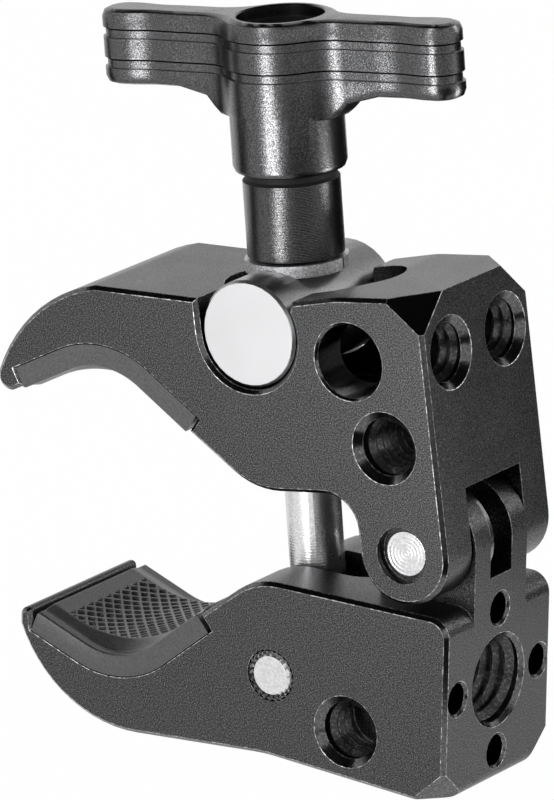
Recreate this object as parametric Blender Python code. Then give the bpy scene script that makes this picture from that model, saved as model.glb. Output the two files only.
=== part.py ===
"""A super clamp: two hinged aluminium jaws that a winged nut closes on a swinging screw.

The clamp stands on the lower jaw, with +X towards the hinge, +Y across the jaws and +Z up.
The screw swings on a pin in the lower jaw and passes a trunnion in the upper jaw, where the
handle's threaded sleeve bears on it. All sizes are in metres and radians.
"""

from math import acos, atan2, ceil, cos, hypot, pi, radians, sin, tan

import bmesh
import bpy
from mathutils import Matrix, Vector

# Both jaws
BODY_WIDTH = 0.0208
FACE_CHAMFER = 0.00045
REAR_FACE_X = 0.02902
HINGE_SETBACK = 0.00593
HINGE_HEIGHT = 0.02688
JAW_TILT = radians(8.7)
QUARTER_INCH_RADIUS = 0.003175
QUARTER_INCH_MOUTH = 0.00400

# Lower jaw, measured from its rear face and from its lowest point
LOWER_TOP = 0.0207
REAR_FOOT_RADIUS = 0.0015
REAR_TOP_RADIUS = 0.0022
SLOPE_EDGE_X = -0.02442
SLOPE_EDGE_RADIUS = 0.0084
HEEL_X = -0.0042
HEEL_RADIUS = 0.010
ARCH_X = -0.0230
ARCH_RISE = 0.00117
ARCH_RADIUS = 0.020
BELLY_X = -0.0405
BELLY_RADIUS = 0.0155
LOWER_NOSE_X = -0.0548
LOWER_NOSE_RADIUS = 0.0010
LOWER_LIP_X = -0.05335
LOWER_LIP_TOP = 0.0115
LOWER_LIP_RADIUS = 0.0005
LOWER_BEND_X = -0.04105
LOWER_BEND_Z = 0.00475
LOWER_PAD_TILT = radians(20.7)
FOOT_CORNER_CUT = (0.0041, 0.0044, 0.0038)
ROD_SLOT_WIDTH = 0.0070
ROD_SLOT_FRONT_X = -0.0294
ROD_SLOT_REAR_X = -0.0136
ROD_SLOT_FLOOR = 0.0053
PIVOT_X = -0.02215
PIVOT_HEIGHT = 0.01024
LOWER_HOLE_X = -0.01247
LOWER_HOLE_Z = 0.00587
LOWER_HOLE_WALL = 0.0004
STUD_HOLE_Z = 0.01143
STUD_HOLE_RADIUS = 0.0047625
STUD_HOLE_MOUTH = 0.00523
STUD_HOLE_DEPTH = 0.0088
LOCATING_INSET = 0.0024
LOCATING_RADIUS = 0.0017
LOCATING_MOUTH = 0.0020
LOCATING_DEPTH = 0.0045

# Hinge lug of the lower jaw, and the slot between its ears
LUG_WIDTH = 0.0102
EAR_SLOT_WIDTH = 0.0042
EAR_SLOT_FLOOR = 0.02329
EAR_POCKET_RADIUS = 0.00582

# Upper jaw, measured from the hinge axis along its rear face
KNUCKLE_RADIUS = 0.0054
UPPER_REAR = 0.0056
UPPER_TOP = 0.0278
HINGE_SLOT_WIDTH = 0.0107
UNDERSIDE_Z = 0.00635
UNDERSIDE_FILLET = 0.0038
UNDERSIDE_BEND_X = -0.01804
UNDERSIDE_BEND_RADIUS = 0.009
UPPER_BEND_X = -0.03519
UPPER_BEND_Z = 0.02301
UPPER_PAD_TILT = radians(20.1)
BROW_X = -0.0338
BROW_Z = 0.01036
BROW_RADIUS = 0.0180
UPPER_NOSE_RADIUS = 0.0016
UPPER_NOSE_ANGLE = radians(152.7)
BROW_END_X = -0.0359
SHOULDER_Z = 0.0272
LIP_X = -0.0107
LIP_Z = 0.0271
LIP_RISE_X = -0.0050
TRUNNION_X = -0.01666
TRUNNION_Z = 0.02345
SEAT_LIP_ANGLE = radians(24.6)
HEAD_CORNER_CUT = (0.0046, 0.0047, 0.0042)
TOP_SLOT_WIDTH = 0.0119
TOP_SLOT_FRONT_X = -0.0248
TOP_SLOT_REAR_X = -0.00365
TOP_SLOT_FLOOR = 0.0152
EXIT_SLOT_WIDTH = 0.0072
EXIT_SLOT_FRONT_X = -0.0234
EXIT_SLOT_REAR_X = -0.0129
PLAIN_HOLE_X = -0.00409
PLAIN_HOLE_Z = 0.0209
PLAIN_HOLE_RADIUS = 0.0040
PLAIN_HOLE_MOUTH = 0.0043
UPPER_HOLE_X = -0.00073
UPPER_HOLE_Z = 0.01163
REAR_HOLE_SPACING = 0.01068
REAR_HOLE_Z = 0.02103
REAR_HOLE_DEPTH = 0.0054

# Rubber pad, the same in both jaws: a bent strip with a raised gripping field
PAD_BEND = radians(60.5)
PAD_TIP_RUN = 0.0126
PAD_ARM_RUN = 0.0138
PAD_THICKNESS = 0.0020
PAD_BACK_RADIUS = 0.0110
PAD_RIM_RADIUS = 0.0090
PAD_RIM_WIDTH = 0.00075
PAD_FIELD_RADIUS = 0.0140
PAD_FIELD_MARGIN = 0.0026
PAD_FIELD_RISE = 0.0003
PAD_GAP = 0.0001
PAD_END_GAP = 0.00025
RECESS_DEPTH = 0.0018

# Hinge pin, its spring and its washer
HINGE_PIN_RADIUS = 0.00235
HINGE_PIN_RECESS = 0.0009
COUNTERBORE_RADIUS = 0.0031
COUNTERBORE_DEPTH = 0.0014
RUNNING_GAP = 0.00005
SPRING_WIRE_RADIUS = 0.0004
SPRING_COIL_RADIUS = 0.00298
SPRING_TURNS = 2.25
SPRING_PITCH = 0.00095
SPRING_FLOOR_LEG = 0.0024
SPRING_ROOF_LEG = 0.0046
WASHER_RADIUS = 0.00575
WASHER_THICKNESS = 0.0011

# Screw, its pivot pin and its stop ring
PIVOT_PIN_RADIUS = 0.00232
PIVOT_HEAD_RADIUS = 0.00285
PIVOT_HEAD_LENGTH = 0.0018
KNURL_TEETH = 24
KNURL_DEPTH = 0.0002
ROD_RADIUS = 0.0030
ROD_LENGTH = 0.0600
ROD_END_CHAMFER = 0.0006
EYE_RADIUS = 0.0043
EYE_WIDTH = 0.0064
STOP_RING_RADIUS = 0.0040
STOP_RING_THICKNESS = 0.0010
STOP_RING_SETBACK = 0.0010

# Trunnion and thrust washer, from the trunnion's axis along the screw
TRUNNION_RADIUS = 0.00585
SEAT_GAP = 0.00025
TRUNNION_INSET = 0.0003
TRUNNION_CHAMFER = 0.0003
ROD_CLEARANCE = 0.00035
SPOTFACE_HEIGHT = 0.00495
SPOTFACE_RADIUS = 0.00575
THRUST_WASHER_RADIUS = 0.0056
THRUST_WASHER_THICKNESS = 0.0013
THRUST_WASHER_SLIT = 0.0003
THRUST_WASHER_SLIT_ANGLE = radians(6)
FACE_GAP = 0.00005

# Sleeve and handle, along the screw
SLEEVE_RADIUS = 0.00525
SLEEVE_GROOVE_RADIUS = 0.00495
SLEEVE_GROOVE_WIDTH = 0.0006
SLEEVE_EDGE = 0.0003
SPIGOT_RADIUS = 0.0047
SPIGOT_DEPTH = 0.0013
OPENING_TRAVEL = 0.00266
NUT_COUNTERBORE_RADIUS = 0.00425
HANDLE_TOP = 0.0326
BOSS_BOTTOM = 0.01575
HUB_RADIUS = 0.0062
BOSS_STEP = 0.00005
BOSS_EDGE = 0.0008
WING_YAW = radians(4.5)
WING_SPAN = 0.0430
WING_DEPTH = 0.0082
WING_TIP_RADIUS = 0.0026
WING_WAIST = 0.0023
WING_WAIST_X = 0.0120
WING_FLARE_X = 0.0085
WING_ROOT_DEPTH = 0.0028
WING_ROOT_X = 0.0064
WING_ROOT_RADIUS = 0.0017
WING_EDGE = 0.0009
GROOVE_DEPTH = 0.00028
GROOVE_BANDS = ((0.0020, 0.0031), (0.0053, 0.0064))
HANDLE_MOUTH = 0.00015

ARC_STEP = radians(12)
ARC_SAG = 0.00002
ROUND_STEPS = 32
PAD_STEPS = 8
SPRING_STEPS = 20
CUT_OVER = 0.002

for obj in list(bpy.data.objects):
    bpy.data.objects.remove(obj, do_unlink=True)


def finish(name, colour, roughness, metallic):
    """A Principled material of one colour."""
    material = bpy.data.materials.new(name)
    material.use_nodes = True
    shader = material.node_tree.nodes["Principled BSDF"]
    shader.inputs["Base Color"].default_value = (*colour, 1)
    shader.inputs["Roughness"].default_value = roughness
    shader.inputs["Metallic"].default_value = metallic
    return material


ANODISED = finish("black_anodised", (0.045, 0.045, 0.048), 0.45, 0.6)
RUBBER = finish("black_rubber", (0.05, 0.05, 0.05), 0.7, 0.0)
BRIGHT_STEEL = finish("bright_steel", (0.72, 0.72, 0.72), 0.25, 1.0)
GREY_STEEL = finish("grey_steel", (0.35, 0.35, 0.35), 0.4, 1.0)
SPRING_STEEL = finish("spring_steel", (0.12, 0.12, 0.12), 0.35, 1.0)
SATIN_BLACK = finish("satin_black", (0.03, 0.03, 0.03), 0.35, 0.5)


def add_object(name, bm, material=None, parent=None):
    """Puts a mesh in the scene as a named object, under a parent frame if it has one."""
    mesh = bpy.data.meshes.new(name)
    bmesh.ops.recalc_face_normals(bm, faces=bm.faces)
    bm.to_mesh(mesh)
    bm.free()
    if material:
        mesh.materials.append(material)
        mesh.shade_smooth()
        mesh.set_sharp_from_angle(angle=radians(25))
    obj = bpy.data.objects.new(name, mesh)
    bpy.context.scene.collection.objects.link(obj)
    obj.parent = parent
    return obj


def frame_at(name, place, lean):
    """An empty on a joint's axis, leaning towards -X by the given angle."""
    empty = bpy.data.objects.new(name, None)
    bpy.context.scene.collection.objects.link(empty)
    empty.location = place
    empty.rotation_euler = (0, -lean, 0)
    return empty


def combine(target, other, operation="DIFFERENCE"):
    """Cuts a helper from the target, or joins it on, and keeps the helper out of the model."""
    other.hide_render = True
    other.display_type = "WIRE"
    boolean = target.modifiers.new(other.name, "BOOLEAN")
    boolean.operation = operation
    boolean.object = other


def arc_steps(radius, sweep):
    """How many straight steps stand for an arc, finer on a large radius."""
    step = min(ARC_STEP, 2 * acos(1 - ARC_SAG / radius))
    return max(2, ceil(abs(sweep) / step))


def arc(centre_x, centre_z, radius, start, end):
    """Points along an arc, ends included."""
    steps = arc_steps(radius, end - start)
    angles = [start + (end - start) * step / steps for step in range(steps + 1)]
    return [(centre_x + radius * cos(a), centre_z + radius * sin(a)) for a in angles]


def rounded(corners, fixed_steps=0):
    """An outline from (x, z, radius) corners, each radius turned into an arc."""
    points = []
    for i, (x, z, radius) in enumerate(corners):
        if not radius:
            points.append((x, z))
            continue
        here = Vector((x, z))
        back = (Vector(corners[i - 1][:2]) - here).normalized()
        ahead = (Vector(corners[(i + 1) % len(corners)][:2]) - here).normalized()
        turn = pi - back.angle(ahead)
        start = here + back * radius * tan(turn / 2)
        centre = here + (back + ahead).normalized() * radius / cos(turn / 2)
        from_centre = start - centre
        sweep = turn if back.x * ahead.y - back.y * ahead.x < 0 else -turn
        steps = fixed_steps or arc_steps(radius, turn)
        for step in range(steps + 1):
            spoke = Matrix.Rotation(sweep * step / steps, 2) @ from_centre
            points.append(tuple(centre + spoke))
    return points


def slab(name, outline, width, material=None, parent=None, chamfer=0.0):
    """An outline in X and Z extruded across Y, with its two faces' edges chamfered."""
    bm = bmesh.new()
    face = bm.faces.new([bm.verts.new((x, -width / 2, z)) for x, z in outline])
    grown = bmesh.ops.extrude_face_region(bm, geom=[face], use_keep_orig=True)
    far = [item for item in grown["geom"] if isinstance(item, bmesh.types.BMVert)]
    bmesh.ops.translate(bm, verts=far, vec=(0, width, 0))
    bmesh.ops.recalc_face_normals(bm, faces=bm.faces)
    if chamfer:
        rims = [e for e in bm.edges if abs(e.verts[0].co.y - e.verts[1].co.y) < chamfer]
        bmesh.ops.bevel(bm, geom=rims, offset=chamfer, segments=1, affect="EDGES")
    return add_object(name, bm, material, parent)


def turned(name, profile, place=(0, 0, 0), along="Z", material=None, parent=None):
    """A closed (radius, height) profile turned round an axis through place."""
    bm = bmesh.new()
    verts = [bm.verts.new((radius, 0, height)) for radius, height in profile]
    edges = [bm.edges.new((verts[i - 1], verts[i])) for i in range(len(verts))]
    if profile[0][0] == 0:
        bm.edges.remove(edges[0])
        edges = edges[1:]
    bmesh.ops.spin(bm, geom=verts + edges, axis=(0, 0, 1), angle=2 * pi, steps=ROUND_STEPS)
    bmesh.ops.remove_doubles(bm, verts=bm.verts, dist=1e-6)
    turns = {"Z": (0, 0), "X": (pi / 2, "Y"), "-Y": (pi / 2, "X"), "Y": (-pi / 2, "X")}
    angle, about = turns[along]
    if angle:
        bmesh.ops.rotate(bm, verts=bm.verts, matrix=Matrix.Rotation(angle, 3, about))
    bmesh.ops.translate(bm, verts=bm.verts, vec=place)
    return add_object(name, bm, material, parent)


def drill(target, name, place, outwards, radius, depth, mouth=None):
    """Cuts a blind hole into a face, with a 45 degree mouth of its own radius."""
    mouth = mouth or radius
    profile = [(0, -depth), (radius, -depth), (radius, radius - mouth), (mouth, 0)]
    profile += [(mouth + CUT_OVER, CUT_OVER), (0, CUT_OVER)]
    if mouth == radius:
        profile = [(0, -depth), (radius, -depth), (radius, CUT_OVER), (0, CUT_OVER)]
    combine(target, turned(name, profile, place, outwards, parent=target.parent))


def drill_through(target, name, x, z, radius, mouth):
    """Cuts a hole across the jaw from side to side, with both mouths chamfered."""
    half = BODY_WIDTH / 2
    wall = half - (mouth - radius)
    profile = [(0, -half - CUT_OVER), (mouth + CUT_OVER, -half - CUT_OVER), (mouth, -half)]
    profile += [(radius, -wall), (radius, wall), (mouth, half)]
    profile += [(mouth + CUT_OVER, half + CUT_OVER), (0, half + CUT_OVER)]
    combine(target, turned(name, profile, (x, 0, z), "Y", parent=target.parent))


def stadium(name, front_x, rear_x, width, floor, top, parent=None):
    """An upright slot cutter with round ends."""
    radius = width / 2
    bm = bmesh.new()
    ends = ((rear_x - radius, -pi / 2), (front_x + radius, pi / 2))
    steps = ROUND_STEPS // 2
    loop = []
    for centre_x, start in ends:
        for step in range(steps + 1):
            angle = start + pi * step / steps
            x = centre_x + radius * cos(angle)
            loop.append(bm.verts.new((x, radius * sin(angle), floor)))
    face = bm.faces.new(loop)
    grown = bmesh.ops.extrude_face_region(bm, geom=[face], use_keep_orig=True)
    far = [item for item in grown["geom"] if isinstance(item, bmesh.types.BMVert)]
    bmesh.ops.translate(bm, verts=far, vec=(0, 0, top - floor))
    return add_object(name, bm, parent=parent)


def box(name, low, high, parent=None):
    """A plain box between two corners."""
    bm = bmesh.new()
    bmesh.ops.create_cube(bm, size=1)
    bmesh.ops.scale(bm, verts=bm.verts, vec=Vector(high) - Vector(low))
    bmesh.ops.translate(bm, verts=bm.verts, vec=(Vector(high) + Vector(low)) / 2)
    return add_object(name, bm, parent=parent)


def cut_corners(target, name, rear_x, face_z, up, legs):
    """Cuts both rear corners of a face with a flat facet of the given legs."""
    leg_x, leg_y, leg_z = legs
    for side in (-1, 1):
        corner = Vector((rear_x, side * BODY_WIDTH / 2, face_z))
        along_x = Vector((-leg_x, 0, 0))
        along_y = Vector((0, -side * leg_y, 0))
        along_z = Vector((0, 0, -up * leg_z))
        outwards = Vector((1 / leg_x, side / leg_y, up / leg_z)).normalized()
        facet = corner + (along_x + along_y + along_z) / 3
        size = 4 * max(legs)
        bm = bmesh.new()
        bmesh.ops.create_cube(bm, size=size)
        turn = outwards.to_track_quat("Z", "Y").to_matrix()
        bmesh.ops.rotate(bm, verts=bm.verts, matrix=turn)
        bmesh.ops.translate(bm, verts=bm.verts, vec=facet + outwards * size / 2)
        combine(target, add_object(f"{name}_{side}", bm, parent=target.parent))


def pad_corners(lift, radius, run_gap=0.0):
    """A line bent like the pad, square to its arms by lift: tip end, bend and arm end."""
    bend_x = -lift * tan(PAD_BEND / 2)
    tip_run = PAD_TIP_RUN + run_gap
    arm_run = PAD_ARM_RUN + run_gap
    arm_x = arm_run * cos(PAD_BEND) - lift * sin(PAD_BEND)
    arm_z = arm_run * sin(PAD_BEND) + lift * cos(PAD_BEND)
    return [(-tip_run, lift, 0), (bend_x, lift, radius), (arm_x, arm_z, 0)]


def seated(corners, bend_x, bend_z, tilt, up):
    """Pad corners turned to the jaw's recess, with up -1 where the pad faces down."""
    placed = []
    for x, z, radius in corners:
        along = x * cos(tilt) + z * sin(tilt)
        rise = z * cos(tilt) - x * sin(tilt)
        placed.append((bend_x + along, bend_z + up * rise, radius))
    return placed


def pad(name, bend_x, bend_z, tilt, up, parent):
    """The moulded pad: a bent strip whose middle rises to a field of a larger radius."""
    edge = BODY_WIDTH / 2 - FACE_CHAMFER
    rim = edge - PAD_RIM_WIDTH
    inner = edge - PAD_FIELD_MARGIN
    stations = [(-edge, PAD_RIM_RADIUS, 0), (-rim, PAD_RIM_RADIUS, 0)]
    stations += [(-inner, PAD_FIELD_RADIUS, PAD_FIELD_RISE)]
    stations += [(-y, radius, rise) for y, radius, rise in stations[::-1]]
    bm = bmesh.new()
    rings = []
    for y, radius, rise in stations:
        back = pad_corners(PAD_GAP, PAD_BACK_RADIUS)
        front = pad_corners(PAD_GAP + PAD_THICKNESS + rise, radius)
        corners = seated(back + front[::-1], bend_x, bend_z, tilt, up)
        rings.append([bm.verts.new((x, y, z)) for x, z in rounded(corners, PAD_STEPS)])
    bm.faces.new(rings[0])
    bm.faces.new(rings[-1][::-1])
    for near, far in zip(rings, rings[1:]):
        for i in range(len(near)):
            bm.faces.new((near[i - 1], near[i], far[i], far[i - 1]))
    return add_object(name, bm, RUBBER, parent)


def mouth_of_recess(bend_x, bend_z, tilt, up):
    """The recess's corners from the arm to the tip: arm mouth, arm end, bend, tip end."""
    floor = seated(pad_corners(0, PAD_BACK_RADIUS, PAD_END_GAP), bend_x, bend_z, tilt, up)
    brim = seated(pad_corners(RECESS_DEPTH, 0, PAD_END_GAP), bend_x, bend_z, tilt, up)
    return [brim[2], floor[2], floor[1], floor[0]], brim[0]


def sharp(points):
    """Outline points as corners with no radius."""
    return [(x, z, 0) for x, z in points]


# The frames that the pieces hang on
hinge_place = Vector((REAR_FACE_X - HINGE_SETBACK, 0, HINGE_HEIGHT))
pivot_place = Vector((REAR_FACE_X + PIVOT_X, 0, PIVOT_HEIGHT))
to_trunnion = Matrix.Rotation(-JAW_TILT, 3, "Y") @ Vector((TRUNNION_X, 0, TRUNNION_Z))
trunnion_place = hinge_place + to_trunnion
screw_line = trunnion_place - pivot_place
SCREW_LEAN = atan2(-screw_line.x, screw_line.z)
rear_frame = frame_at("rear_frame", (REAR_FACE_X, 0, 0), 0)
hinge_frame = frame_at("hinge_frame", hinge_place, JAW_TILT)
pivot_frame = frame_at("pivot_frame", pivot_place, SCREW_LEAN)
trunnion_frame = frame_at("trunnion_frame", trunnion_place, SCREW_LEAN)


def lower_jaw_outline():
    """The lower jaw's side view, from the heel up the rear face and round the nose."""
    recess, _ = mouth_of_recess(LOWER_BEND_X, LOWER_BEND_Z, LOWER_PAD_TILT, 1)
    corners = [(0, 0, REAR_FOOT_RADIUS), (0, LOWER_TOP, REAR_TOP_RADIUS)]
    corners += [(SLOPE_EDGE_X, LOWER_TOP, SLOPE_EDGE_RADIUS), *recess]
    corners += [(LOWER_LIP_X, LOWER_LIP_TOP, LOWER_LIP_RADIUS)]
    corners += [(LOWER_NOSE_X, LOWER_LIP_TOP, LOWER_NOSE_RADIUS)]
    arch_x, arch_z = ARCH_X - BELLY_X, ARCH_RISE - BELLY_RADIUS
    belly_start = pi + acos((BELLY_X - LOWER_NOSE_X) / BELLY_RADIUS)
    belly_end = 2 * pi + atan2(arch_z, arch_x) - acos(BELLY_RADIUS / hypot(arch_x, arch_z))
    corners += sharp(arc(BELLY_X, BELLY_RADIUS, BELLY_RADIUS, belly_start, belly_end))
    corners += [(ARCH_X, ARCH_RISE, ARCH_RADIUS), (HEEL_X, 0, HEEL_RADIUS)]
    return rounded(corners)


def lug_outline():
    """The hinge lug's side view: an upright with a full round end on the hinge axis."""
    root = LOWER_TOP - 2 * REAR_TOP_RADIUS
    corners = [(0, root), *arc(-HINGE_SETBACK, HINGE_HEIGHT, HINGE_SETBACK, 0, pi)]
    corners.append((-2 * HINGE_SETBACK, root))
    return corners


def make_lower_jaw():
    """The fixed jaw with its hinge lug, slots and holes."""
    jaw = slab(
        "lower_jaw", lower_jaw_outline(), BODY_WIDTH, ANODISED, rear_frame, FACE_CHAMFER
    )
    combine(jaw, slab("lug", lug_outline(), LUG_WIDTH, None, rear_frame), "UNION")
    low = (-3 * HINGE_SETBACK, -EAR_SLOT_WIDTH / 2, EAR_SLOT_FLOOR)
    high = (CUT_OVER, EAR_SLOT_WIDTH / 2, HINGE_HEIGHT + 2 * HINGE_SETBACK)
    combine(jaw, box("ear_slot", low, high, rear_frame))
    near = -EAR_SLOT_WIDTH / 2
    far = near + WASHER_THICKNESS + 2 * FACE_GAP
    pocket = [(0, near), (EAR_POCKET_RADIUS, near), (EAR_POCKET_RADIUS, far), (0, far)]
    hinge = (-HINGE_SETBACK, 0, HINGE_HEIGHT)
    combine(jaw, turned("washer_pocket", pocket, hinge, "Y", parent=rear_frame))
    reach = LUG_WIDTH / 2 + CUT_OVER
    bore = HINGE_PIN_RADIUS + RUNNING_GAP
    profile = [(0, -reach), (bore, -reach), (bore, reach), (0, reach)]
    combine(jaw, turned("ear_bore", profile, hinge, "Y", parent=rear_frame))
    slot = (ROD_SLOT_FRONT_X, ROD_SLOT_REAR_X, ROD_SLOT_WIDTH, ROD_SLOT_FLOOR)
    combine(jaw, stadium("rod_slot", *slot, LOWER_TOP + CUT_OVER, rear_frame))
    half = BODY_WIDTH / 2
    head, bore = PIVOT_HEAD_RADIUS + RUNNING_GAP, PIVOT_PIN_RADIUS + RUNNING_GAP
    step = half - PIVOT_HEAD_LENGTH - RUNNING_GAP
    over = half + CUT_OVER
    profile = [(0, -over), (head, -over), (head, -step), (bore, -step), (bore, over), (0, over)]
    combine(jaw, turned("pivot_bore", profile, (PIVOT_X, 0, PIVOT_HEIGHT), "Y", parent=rear_frame))
    drill(
        jaw, "stud_hole", (0, 0, STUD_HOLE_Z), "X",
        STUD_HOLE_RADIUS, STUD_HOLE_DEPTH, STUD_HOLE_MOUTH,
    )
    circle = half - LOCATING_INSET
    for i in range(4):
        y = circle * cos(i * pi / 2)
        z = STUD_HOLE_Z + circle * sin(i * pi / 2)
        drill(
            jaw, f"locating_{i}", (0, y, z), "X",
            LOCATING_RADIUS, LOCATING_DEPTH, LOCATING_MOUTH,
        )
    depth = half - ROD_SLOT_WIDTH / 2 - LOWER_HOLE_WALL
    for side, outwards in ((-1, "-Y"), (1, "Y")):
        drill(
            jaw, f"lower_hole_{side}", (LOWER_HOLE_X, side * half, LOWER_HOLE_Z), outwards,
            QUARTER_INCH_RADIUS, depth, QUARTER_INCH_MOUTH,
        )
    cut_corners(jaw, "foot_corner", 0, 0, -1, FOOT_CORNER_CUT)


def upper_jaw_outline():
    """The upper jaw's side view, from the knuckle up the rear face and round the nose."""
    recess, brim = mouth_of_recess(UPPER_BEND_X, UPPER_BEND_Z, UPPER_PAD_TILT, -1)
    seat = TRUNNION_RADIUS + SEAT_GAP
    corners = [(UPPER_REAR, -KNUCKLE_RADIUS, KNUCKLE_RADIUS), (UPPER_REAR, UPPER_TOP, 0)]
    corners += [(LIP_RISE_X, UPPER_TOP, 0.012), (LIP_X, LIP_Z, 0)]
    corners += sharp(arc(TRUNNION_X, TRUNNION_Z, seat, SEAT_LIP_ANGLE, -pi))
    corners += [(TRUNNION_X - seat, SHOULDER_Z, 0)]
    brow_end = acos((BROW_END_X - BROW_X) / BROW_RADIUS)
    corners += sharp(arc(BROW_X, BROW_Z, BROW_RADIUS, brow_end, UPPER_NOSE_ANGLE))
    reach = BROW_RADIUS - UPPER_NOSE_RADIUS
    nose_x = BROW_X + reach * cos(UPPER_NOSE_ANGLE)
    nose_z = BROW_Z + reach * sin(UPPER_NOSE_ANGLE)
    nose = arc(nose_x, nose_z, UPPER_NOSE_RADIUS, UPPER_NOSE_ANGLE, 3 * pi / 2)
    corners += sharp(nose[1:])
    corners += [brim, *recess[::-1]]
    corners += [(UNDERSIDE_BEND_X, UNDERSIDE_Z, UNDERSIDE_BEND_RADIUS)]
    corners += [(-KNUCKLE_RADIUS, UNDERSIDE_Z, UNDERSIDE_FILLET)]
    corners += [(-KNUCKLE_RADIUS, -KNUCKLE_RADIUS, KNUCKLE_RADIUS)]
    return rounded(corners)


def make_upper_jaw():
    """The swinging jaw with its hinge cheeks, trunnion seat, slots and holes."""
    jaw = slab(
        "upper_jaw", upper_jaw_outline(), BODY_WIDTH, ANODISED, hinge_frame, FACE_CHAMFER
    )
    slot_x = -KNUCKLE_RADIUS - UNDERSIDE_FILLET
    low = (slot_x, -HINGE_SLOT_WIDTH / 2, -KNUCKLE_RADIUS - CUT_OVER)
    high = (UPPER_REAR + CUT_OVER, HINGE_SLOT_WIDTH / 2, UNDERSIDE_Z)
    combine(jaw, box("hinge_slot", low, high, hinge_frame))
    half, over = BODY_WIDTH / 2, BODY_WIDTH / 2 + CUT_OVER
    step = half - COUNTERBORE_DEPTH
    bore = HINGE_PIN_RADIUS + RUNNING_GAP
    profile = [(0, -over), (COUNTERBORE_RADIUS, -over), (COUNTERBORE_RADIUS, -step)]
    profile += [(bore, -step), (bore, step), (COUNTERBORE_RADIUS, step)]
    profile += [(COUNTERBORE_RADIUS, over), (0, over)]
    combine(jaw, turned("cheek_bore", profile, (0, 0, 0), "Y", parent=hinge_frame))
    slot = (TOP_SLOT_FRONT_X, TOP_SLOT_REAR_X, TOP_SLOT_WIDTH, TOP_SLOT_FLOOR)
    combine(jaw, stadium("top_slot", *slot, UPPER_TOP + CUT_OVER, hinge_frame))
    slot = (EXIT_SLOT_FRONT_X, EXIT_SLOT_REAR_X, EXIT_SLOT_WIDTH, 0)
    combine(jaw, stadium("exit_slot", *slot, TOP_SLOT_FLOOR + CUT_OVER, hinge_frame))
    drill_through(
        jaw, "plain_hole", PLAIN_HOLE_X, PLAIN_HOLE_Z, PLAIN_HOLE_RADIUS, PLAIN_HOLE_MOUTH
    )
    drill_through(
        jaw, "upper_hole", UPPER_HOLE_X, UPPER_HOLE_Z, QUARTER_INCH_RADIUS, QUARTER_INCH_MOUTH
    )
    for side in (-1, 1):
        place = (UPPER_REAR, side * REAR_HOLE_SPACING / 2, REAR_HOLE_Z)
        drill(
            jaw, f"rear_hole_{side}", place, "X",
            QUARTER_INCH_RADIUS, REAR_HOLE_DEPTH, QUARTER_INCH_MOUTH,
        )
    cut_corners(jaw, "head_corner", UPPER_REAR, UPPER_TOP, 1, HEAD_CORNER_CUT)


def make_hinge():
    """The hinge pin, the torsion spring round it and the washer beside the ear."""
    half = BODY_WIDTH / 2 - HINGE_PIN_RECESS
    edge = HINGE_PIN_RADIUS - TRUNNION_CHAMFER
    profile = [(0, -half), (edge, -half), (HINGE_PIN_RADIUS, TRUNNION_CHAMFER - half)]
    profile += [(HINGE_PIN_RADIUS, half - TRUNNION_CHAMFER), (edge, half), (0, half)]
    turned("hinge_pin", profile, (0, 0, 0), "Y", BRIGHT_STEEL, hinge_frame)

    near = -EAR_SLOT_WIDTH / 2 + FACE_GAP
    inner = HINGE_PIN_RADIUS + 2 * RUNNING_GAP
    round_edge = WASHER_THICKNESS / 4
    profile = [(inner, near), (WASHER_RADIUS - round_edge, near)]
    profile += [(WASHER_RADIUS, near + round_edge)]
    profile += [(WASHER_RADIUS, near + WASHER_THICKNESS - round_edge)]
    profile += [(WASHER_RADIUS - round_edge, near + WASHER_THICKNESS)]
    profile += [(inner, near + WASHER_THICKNESS)]
    hinge = (-HINGE_SETBACK, 0, HINGE_HEIGHT)
    turned("hinge_washer", profile, hinge, "Y", BRIGHT_STEEL, rear_frame)

    first = near + WASHER_THICKNESS + SPRING_WIRE_RADIUS + FACE_GAP
    count = int(SPRING_TURNS * SPRING_STEPS)
    start = -pi / 2
    route = []
    for step in range(count + 1):
        angle = start + 2 * pi * SPRING_TURNS * step / count
        y = first + SPRING_PITCH * SPRING_TURNS * step / count
        route.append((-SPRING_COIL_RADIUS * cos(angle), y, SPRING_COIL_RADIUS * sin(angle)))
    route.insert(0, (SPRING_FLOOR_LEG, first, -SPRING_COIL_RADIUS))
    route.append((-SPRING_COIL_RADIUS, route[-1][1], SPRING_ROOF_LEG))
    curve = bpy.data.curves.new("hinge_spring", "CURVE")
    curve.dimensions = "3D"
    curve.bevel_depth = SPRING_WIRE_RADIUS
    curve.bevel_resolution = 1
    curve.use_fill_caps = True
    spline = curve.splines.new("POLY")
    spline.points.add(len(route) - 1)
    for point, place in zip(spline.points, route):
        point.co = (*place, 1)
    curve.materials.append(SPRING_STEEL)
    spring = bpy.data.objects.new("hinge_spring", curve)
    bpy.context.scene.collection.objects.link(spring)
    spring.parent = rear_frame
    spring.location = hinge


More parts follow.
